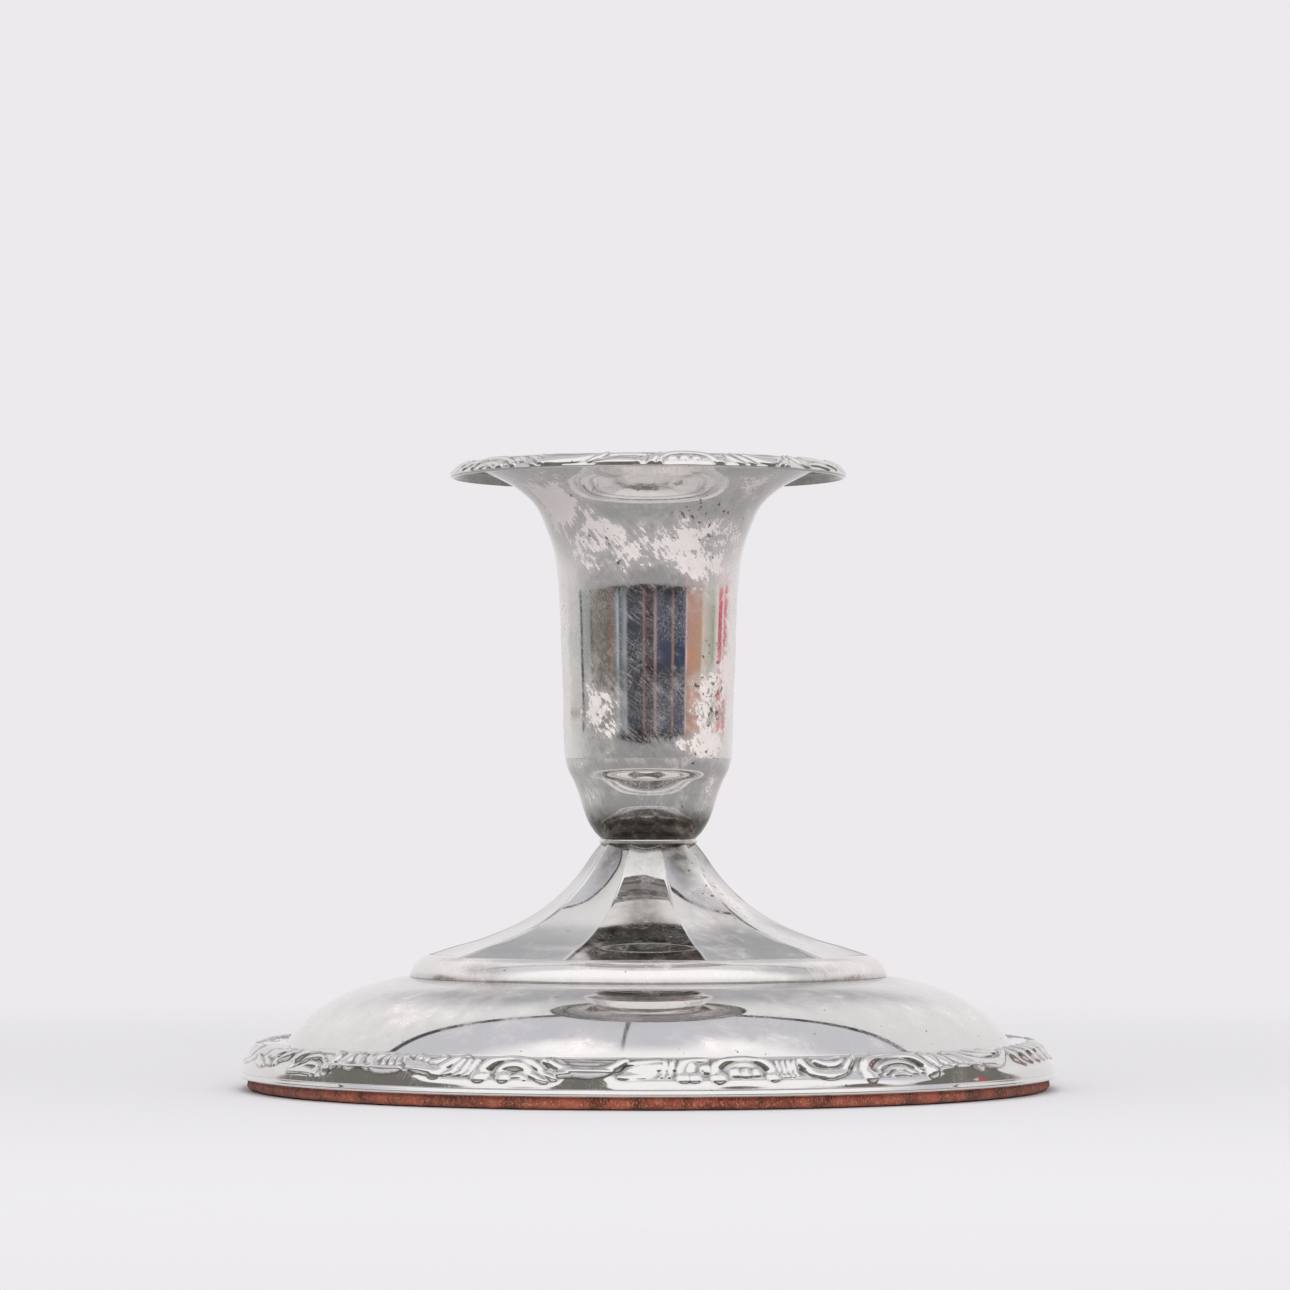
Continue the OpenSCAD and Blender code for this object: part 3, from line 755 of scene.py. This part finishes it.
def relief(strokes, beads, angle, along, radius, squeeze, lift):
    """Height in mm of the raised work, for half a turn and its repeat; squeeze and lift shift it upward."""
    height = np.zeros((len(along), len(angle)))
    arc = math.radians(radius)
    columns = len(angle)

    def raise_line(points, widths, tall):
        line = spline(points * [arc, squeeze] + [0, lift], 0.12)
        width = WIDEN * np.interp(np.linspace(0, 1, len(line)), np.linspace(0, 1, len(widths)), widths)
        margin = WIDEN * max(widths) + 0.1
        rows = np.flatnonzero((along > line[:, 1].min() - margin) & (along < line[:, 1].max() + margin))
        first = math.floor((line[:, 0].min() - margin) / (360 * arc) * columns)
        last = math.ceil((line[:, 0].max() + margin) / (360 * arc) * columns)
        span = np.arange(first, last + 1)
        across = span * 360 * arc / columns
        away = np.hypot(across[None, :, None] - line[:, 0], along[rows][:, None, None] - line[:, 1]) / width
        ridge = FLATTEN * tall * (1 - away.min(2) ** 2.5).clip(0)
        cells = np.ix_(rows, span % columns)
        height[cells] = np.maximum(height[cells], ridge)

    for turn in (0, 180):
        for tall, widths, line in strokes:
            raise_line(np.array(line, float) + [turn, 0], widths, tall)
        for at, up, size, tall in beads:
            dot = [(at + turn - 0.05, up), (at + turn + 0.05, up)]
            raise_line(np.array(dot, float), (size, size), tall)
    return height


def blurred(field, rows, columns):
    """The field averaged twice over a window of so many rows and columns."""
    for _ in range(2):
        field = sum(np.roll(field, k, 1) for k in range(-columns, columns + 1)) / (2 * columns + 1)
        padded = np.pad(field, ((rows, rows), (0, 0)), "edge")
        field = sum(padded[k:k + len(field)] for k in range(2 * rows + 1)) / (2 * rows + 1)
    return field


def uneven_ground(angle, seed):
    """Slight waviness in mm round a chased border."""
    random = np.random.default_rng(seed)
    return sum(np.sin(k * angle + random.uniform(0, TURN)) for k in (5, 11, 17, 26, 37)) * 0.012


def chased_border(name, node, outline, rest, strokes, beads, squeeze, lift, columns, sunk, start, widest,
                  highest, upright, look, seed):
    """A border whose outline, from its outer lower edge upward, carries the relief; rest closes the loop.

    The ground between the motifs is sunk by so many mm, from the start upward. Nothing passes the widest
    radius or the highest level. A function upright says at which degrees the band under the motifs stands.
    """
    outline = np.array(outline)
    along = np.concatenate([[0], np.cumsum(np.linalg.norm(np.diff(outline, axis=0), axis=1))])
    angle = angles(columns)
    height = relief(strokes, beads, angle, along, outline[:, 0].max(), squeeze, lift)
    end = (along[-1] - 1.6, along[-1] - 0.3)
    within = np.interp(along, (0.2, 0.7, *end), (0, 1, 1, 0))[:, None]
    ground = sunk * np.interp(along, (*start, *end), (0, 1, 1, 0))[:, None]
    raised = (height + uneven_ground(angle, seed)) * within
    if upright is None:
        moved = raised - ground
    else:
        stands = upright(np.degrees(angle))
        filled = stands * np.interp(along, (2.3, 3.0), (1, 0))[:, None]
        to_band = outline[:, :1].max() - 0.1 - 0.085 * along[:, None] - outline[:, :1]
        leaning = 0.55 * (1 - stands) * np.interp(along, (0, 1.6, 3.0, 4.6), (0, 1, 1, 0))[:, None]
        moved = raised - ground * (1 - filled)
        moved += filled * to_band - leaning
    normal = beside(outline, -1) - outline
    radius = np.minimum(outline[:, :1] + normal[:, :1] * moved, widest)
    z = np.minimum(outline[:, 1:] + normal[:, 1:] * moved, highest)
    rest = np.array(rest, float)
    radius = np.vstack([radius, np.repeat(rest[:, :1], columns, 1)])
    z = np.vstack([z, np.repeat(rest[:, 1:], columns, 1)])
    mesh = grid_mesh(name, turned_points(radius, z, angle))
    # patina stays where the relief lies lower than its surroundings; the rows under and behind the border get
    # painted shade
    hollow = (blurred(height, 2, 2) - height - 0.02) / 0.075
    tarnish_and_shade = np.vstack([(hollow * within).clip(0, 1), np.full((len(rest), columns), 0.75)])
    for mark, strength in (("bloom", np.zeros(z.shape)), ("specks", np.zeros(z.shape)), ("patina_and_painted_shade", tarnish_and_shade)):
        store(mesh, mark, strength)
    return place(name, mesh, node, look)


def upright_band(degrees):
    """1 in the three places where the plain band under the foot's motifs stands upright, and 0 elsewhere."""
    middles = np.array([-40.5, -8.5, 49.5])
    half_widths = np.array([10.0, 3.8, 8.0])
    around = (degrees[:, None] - middles + 90) % 180 - 90
    return np.exp(-(around / half_widths) ** 4).sum(1).clip(0, 1)


def build_foot_border(silver):
    outline = spline([
        (FOOT_R - 0.12, WIRE_Z), (FOOT_R - 0.1, 3.6), (FOOT_R - 0.45, 4.6), (FOOT_R - 1.15, 5.6),
        (FOOT_R - 2.1, 6.4), (FOOT_R - 3.3, 6.8), (FOOT_R - 4.6, 6.9), (SKIRT_R, SKIRT_Z)], 0.17)
    seat = [(SKIRT_R, WIRE_Z + SHEET), (HEM_R, WIRE_Z + SHEET), (HEM_R, WIRE_Z)]
    chased_border("foot_border_silver", "foot_border", outline, seat, FOOT_STROKES, FOOT_BEADS,
                  squeeze=0.86, lift=0.85, columns=1600, sunk=0.30, start=(1.4, 2.6), widest=FOOT_R - BULGE,
                  highest=7.6, upright=upright_band, look=silver, seed=13)


def build_foot_wire(silver):
    edge = spline([(FOOT_R - 0.6, FELT_H), (FOOT_R - 0.12, FELT_H + 0.2), (FOOT_R, FELT_H + 0.45),
                   (FOOT_R - 0.15, FELT_H + 0.8), (FOOT_R - 0.22, WIRE_Z)], 0.08)
    loop = np.vstack([[(HEM_R, FELT_H)], edge, [(HEM_R, WIRE_Z)]])
    shell("foot_wire_silver", "foot_wire", loop, 512, silver, waviness=0.0, seed=15)


def build_rim_border(silver):
    inner = MOUTH_R - 1.9
    over = spline([
        (RIM_R - 0.3, 85.9), (RIM_R, 86.1), (RIM_R - 0.08, 86.4), (RIM_R - 0.35, 86.9), (27.1, 87.5),
        (26.1, 88.0), (24.6, RIM_Z), (23.0, RIM_Z), (inner + 0.6, RIM_Z - 0.6), (inner, MOUTH_Z)], 0.16)
    under = spline([(MOUTH_R, MOUTH_Z), (24.4, 87.25), (25.8, 87.35), (26.9, 86.8), (27.4, 85.9)], 0.3)
    chased_border("rim_border_silver", "rim_border", over, under, RIM_STROKES, RIM_BEADS,
                  squeeze=1, lift=0, columns=1120, sunk=0.12, start=(0.3, 1.3), widest=RIM_R - BULGE,
                  highest=RIM_CREST, upright=None, look=silver, seed=17)


# ---------------------------------------------------------------- felt

# The felt's outline: rings of its underside, its edge with how much each ring of it frays, rings of its top
FELT_RINGS = (4, 15, 30, 45)
FELT_EDGE = [
    (53, 0.0, 0.3), (55.5, 0.0, 0.8), (FELT_R - 0.25, 0.15, 1), (FELT_R, 0.6, 1), (FELT_R - 0.05, 1.1, 0.9),
    (FELT_R - 0.3, FELT_H, 0.5), (55, FELT_H, 0.2),
]


def build_felt(felt):
    """A disc of baize with a frayed edge, and a tuft that sticks out at its front left."""
    columns = 720
    random = np.random.default_rng(21)
    angle = angles(columns)
    under = [(r, 0.0, 0) for r in FELT_RINGS]
    over = [(r, FELT_H, 0) for r in FELT_RINGS[::-1]]
    outline = np.array(under + FELT_EDGE + over)
    frayed = np.zeros((len(outline), columns))
    for lobes in (9, 17, 31, 57, 90, 140):
        frayed += np.sin(lobes * angle + random.uniform(0, TURN))[None] / math.sqrt(lobes)
    degrees = np.degrees(angle)
    tuft = np.exp(-((degrees - 343) / 1.1) ** 2) + 0.5 * np.exp(-((degrees - 346) / 0.8) ** 2)
    fuzz = random.normal(0, 0.07, frayed.shape)
    radius = outline[:, :1] - outline[:, 2:] * ((0.35 + 0.28 * frayed + fuzz).clip(0, 1.0) - 0.7 * tuft)
    height = np.repeat(outline[:, 1:2], columns, 1)
    mesh = grid_mesh("felt_pad_baize", turned_points(radius, height, angle))
    piece = place("felt_pad_baize", mesh, "felt_pad", felt)


# ---------------------------------------------------------------- stage, light and camera

TABLE_WHITE = (0.715, 0.705, 0.715, 1)


def build_floor():
    """The table, which fades into the backdrop, and a ring of it near the foot that only reflections see."""
    # metres from the axis; the second to the fourth are the ring near the foot
    rings = np.concatenate([[0.002, 0.05, 0.06, 0.067], np.linspace(0.08, 0.8, 37)])
    angle = angles(128)
    below = -0.0001
    points = np.stack([rings[:, None] * np.sin(angle), -rings[:, None] * np.cos(angle),
                       np.full((len(rings), len(angle)), below)], -1)
    look, g = material("pale_table")
    far = g.node("ShaderNodeVectorMath", {0: g.here()}, operation="LENGTH").outputs["Value"]
    diffuse = g.node("ShaderNodeBsdfDiffuse", {"Color": TABLE_WHITE})
    clear = g.node("ShaderNodeBsdfTransparent")
    fade = g.step(far, 0.09, 0.36)
    finish_material(g, g.node("ShaderNodeMixShader", {0: fade, 1: diffuse.outputs[0], 2: clear.outputs[0]}))
    floor = add("floor", grid_mesh("floor", points[::-1], closed=False))
    floor.visible_glossy = False
    near = add("table_near_foot", grid_mesh("table_near_foot", points[3:0:-1], closed=False))
    near.location.z = 0.00005
    near.visible_camera = near.visible_diffuse = near.visible_shadow = False
    for stage in (floor, near):
        stage.data.materials.append(look)


BACKDROP = (0.8388, 0.8228, 0.8388)
TABLE = (0.37, 0.365, 0.37)
TABLE_FAR = (0.88, 0.87, 0.88)
CEILING = (0.69, 0.69, 0.74)
OVERHEAD = (1.12, 1.12, 1.13)
BEYOND = (0.46, 0.46, 0.48)
HIGH_WALL = (0.86, 0.86, 0.87)
SIDE_WALL = (0.60, 0.60, 0.60)
DIM_WALL = (0.20, 0.19, 0.175)
JOINT = (0.10, 0.10, 0.095)
CABLE = (0.12, 0.12, 0.13)
RED = (0.72, 0.08, 0.13)
UNDER_SHADE = (0.035, 0.026, 0.024)
DEGREES = 180 / math.pi

# What stands in the dim room in front, by azimuth in degrees, at the height of the table's edge
ROOM = [
    (-130, (0.74, 0.73, 0.73)), (-101, (0.70, 0.70, 0.68)), (-100, (0.04, 0.05, 0.05)),
    (-97, (0.05, 0.06, 0.06)), (-95, (0.42, 0.47, 0.45)), (-83, (0.36, 0.38, 0.36)),
    (-81, (0.09, 0.09, 0.08)), (-76, (0.24, 0.23, 0.20)), (-56, (0.15, 0.14, 0.12)),
    (-50, (0.27, 0.15, 0.11)), (-44, (0.20, 0.23, 0.25)), (-40, (0.56, 0.62, 0.66)),
    (-38, (0.11, 0.12, 0.15)), (-30, (0.38, 0.42, 0.46)), (-27, (0.07, 0.07, 0.09)),
    (-8, (0.07, 0.075, 0.10)), (-6, (0.36, 0.20, 0.19)), (-3, (0.08, 0.065, 0.065)),
    (6, (0.08, 0.065, 0.07)), (9, (0.50, 0.36, 0.38)), (12, (0.08, 0.09, 0.13)), (30, (0.07, 0.08, 0.12)),
    (32, (0.42, 0.26, 0.18)), (35, (0.06, 0.07, 0.12)), (49, (0.06, 0.08, 0.13)), (51, (0.86, 0.66, 0.68)),
    (53, (0.60, 0.31, 0.22)), (73, (0.58, 0.33, 0.24)), (76, (0.76, 0.68, 0.58)), (95, (0.38, 0.40, 0.33)),
    (100, (0.84, 0.78, 0.72)), (130, (0.78, 0.75, 0.74)),
]


def room_colour(g, azimuth, elevation, sideways):
    """The dim room in front, under a plain dim wall; two red uprights stand in it at the right."""
    first, last = ROOM[0][0], ROOM[-1][0]
    share = g.node("ShaderNodeMapRange", {0: azimuth, 1: first, 2: last}).outputs[0]
    room = g.ramp(share, [((at - first) / (last - first), colour) for at, colour in ROOM])
    for at in (108.5, 121):
        room = g.mix(g.band(azimuth, at, 4.0), room, RED)
    shade = g.times(g.step(elevation, -2.6, -5.6), g.step(sideways, 66, 44))
    room = g.mix(g.times(shade, 0.9), room, UNDER_SHADE)
    room = g.mix(g.step(elevation, 0.4, 1.6), room, DIM_WALL)
    return g.mix(g.step(sideways, 126, 132), room, BACKDROP)


def ceiling_colour(g, x, over, elevation, sideways):
    """A soft light over the camera, and the ceiling with a dark joint and a hanging cable."""
    joint_at = 115
    aside = g.math("MAXIMUM", g.step(g.math("ABSOLUTE", x), 0.12, 0.34), g.step(elevation, 38, 55))
    ceiling = g.mix(g.step(over, joint_at - 1, joint_at + 1), CEILING, g.mix(aside, BEYOND, HIGH_WALL))
    joint = g.times(g.band(over, joint_at, 1.3), g.step(sideways, 20, 50))
    ceiling = g.mix(joint, ceiling, JOINT)
    sag = g.math("SUBTRACT", g.times(g.math("SUBTRACT", over, 100.0), 0.0016), 0.052)
    reaches = g.times(g.step(over, 60, 66), g.step(over, joint_at, joint_at - 2))
    ceiling = g.mix(g.times(g.band(x, sag, 0.006), reaches), ceiling, CABLE)
    wall = g.mix(g.step(sideways, 60, 110), SIDE_WALL, BACKDROP)
    ceiling = g.mix(g.times(g.step(elevation, 28, 16), g.step(sideways, 50, 70)), ceiling, wall)
    lamp = g.times(g.step(sideways, 95, 70), g.step(elevation, 82, 72))
    return g.mix(lamp, ceiling, OVERHEAD)


def table_colour(g, z, sideways):
    """Grey from above, and bright where it is seen at a low angle toward the backdrop."""
    low = g.math("POWER", g.math("SUBTRACT", 1.0, g.math("ABSOLUTE", z)), 5)
    return g.mix(g.times(low, g.step(sideways, 60, 120)), TABLE, TABLE_FAR)


def build_world():
    """A flat backdrop for the camera, and a plain studio for reflections: table, dim room and soft light."""
    world = bpy.data.worlds.new("studio")
    bpy.context.scene.world = world
    world.use_nodes = True
    g = Graph(world.node_tree)
    x, y, z = g.separate(g.node("ShaderNodeTexCoord").outputs["Generated"])
    ahead = g.times(y, -1)
    azimuth = g.times(g.math("ARCTAN2", x, ahead), DEGREES)
    elevation = g.times(g.math("ARCSINE", z), DEGREES)
    over = g.times(g.math("ARCTAN2", z, ahead), DEGREES)
    sideways = g.math("ABSOLUTE", azimuth)

    # the ceiling starts lower at the sides, and the table's edge lies lowest in front
    start = g.lerp(g.step(sideways, 60, 100), 23.0, 17.0)
    sky = g.mix(g.step(g.math("SUBTRACT", elevation, start), -2.0, 2.0),
                room_colour(g, azimuth, elevation, sideways), ceiling_colour(g, x, over, elevation, sideways))
    half = g.math("COSINE", g.times(azimuth, 0.5 / DEGREES))
    edge = g.math("SUBTRACT", g.times(g.math("POWER", half, 4), -4.8), 1.8)
    sky = g.mix(g.math("LESS_THAN", elevation, edge), sky, table_colour(g, z, sideways))

    seen = g.node("ShaderNodeLightPath").outputs["Is Camera Ray"]
    plain = g.node("ShaderNodeBackground", {"Color": (*BACKDROP, 1)})
    studio = g.node("ShaderNodeBackground", {"Color": sky})
    mixed = g.node("ShaderNodeMixShader", {0: seen, 1: studio.outputs[0], 2: plain.outputs[0]})
    g.node("ShaderNodeOutputWorld", {0: mixed.outputs[0]})


def softbox(name, size, energy, location, turn, colour=(1, 1, 1)):
    """A round soft light, turned by degrees, which the silver doesn't mirror."""
    data = bpy.data.lights.new(name, "AREA")
    data.shape = "DISK"
    data.size = size
    data.energy = energy
    data.color = colour
    lamp = add(name, data)
    lamp.location = location
    lamp.rotation_euler = [math.radians(t) for t in turn]
    lamp.visible_glossy = False


def build_lights():
    softbox("top_softbox", 1.6, 2.5, (0, -0.15, 1.1), (-8, 0, 0), (1.0, 0.99, 0.985))
    softbox("front_softbox", 0.9, 10, (0.1, -1.2, 0.42), (73, 0, 5))


def build_camera():
    """Level with the lower third of the stem, a long lens, tilted up slightly."""
    data = bpy.data.cameras.new("camera")
    data.lens = 151.26
    data.clip_start = 0.02
    camera = add("camera", data)
    camera.location = (-0.00047, -0.765, 0.0402)
    camera.rotation_euler = (math.radians(90 + 1.66), 0, 0)
    bpy.context.scene.camera = camera


bpy.context.scene.view_settings.view_transform = "Standard"
build_camera()
build_world()
build_lights()
build_floor()

plain_silver = silver_material("silver_sheet")
dome_silver = silver_material("silver_dome", soft=0.26, streak_turn=(0, 70, 20), streaky=0.5, flaky=0.6,
                              veil=0.26)
tube_silver = silver_material("silver_tube", soft=0.05, streak_turn=(0, 38, 0), flaky=1.15, veil=0.27,
                              scratched=0.44)
stem_silver = silver_material("silver_stem", soft=0.24, streak_turn=(0, 50, 0), streaky=0.7)
collar_silver = silver_material("silver_collar", soft=0.2, haze=0.20)
border_silver = silver_material("silver_border", bloom_level=0.75)

build_dome(dome_silver)
build_collar(collar_silver)
build_stem(stem_silver)
build_neck(plain_silver)
build_bowl(plain_silver)
build_tube(tube_silver)
build_foot_wire(border_silver)
build_foot_border(border_silver)
build_rim_border(border_silver)
build_felt(felt_material())

# The parts inside keep their CAD shapes and get a material
steel = steel_material()
for node, look in (("backing_board", board_material()), ("foot_filler", filler_material()),
                     ("socket_floor", plain_silver), ("tie_screw", steel), ("screw_washer", steel),
                     ("clamp_washer", steel), ("clamp_nut", steel)):
    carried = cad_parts[node]
    carried.data.materials.clear()
    carried.data.materials.append(look)
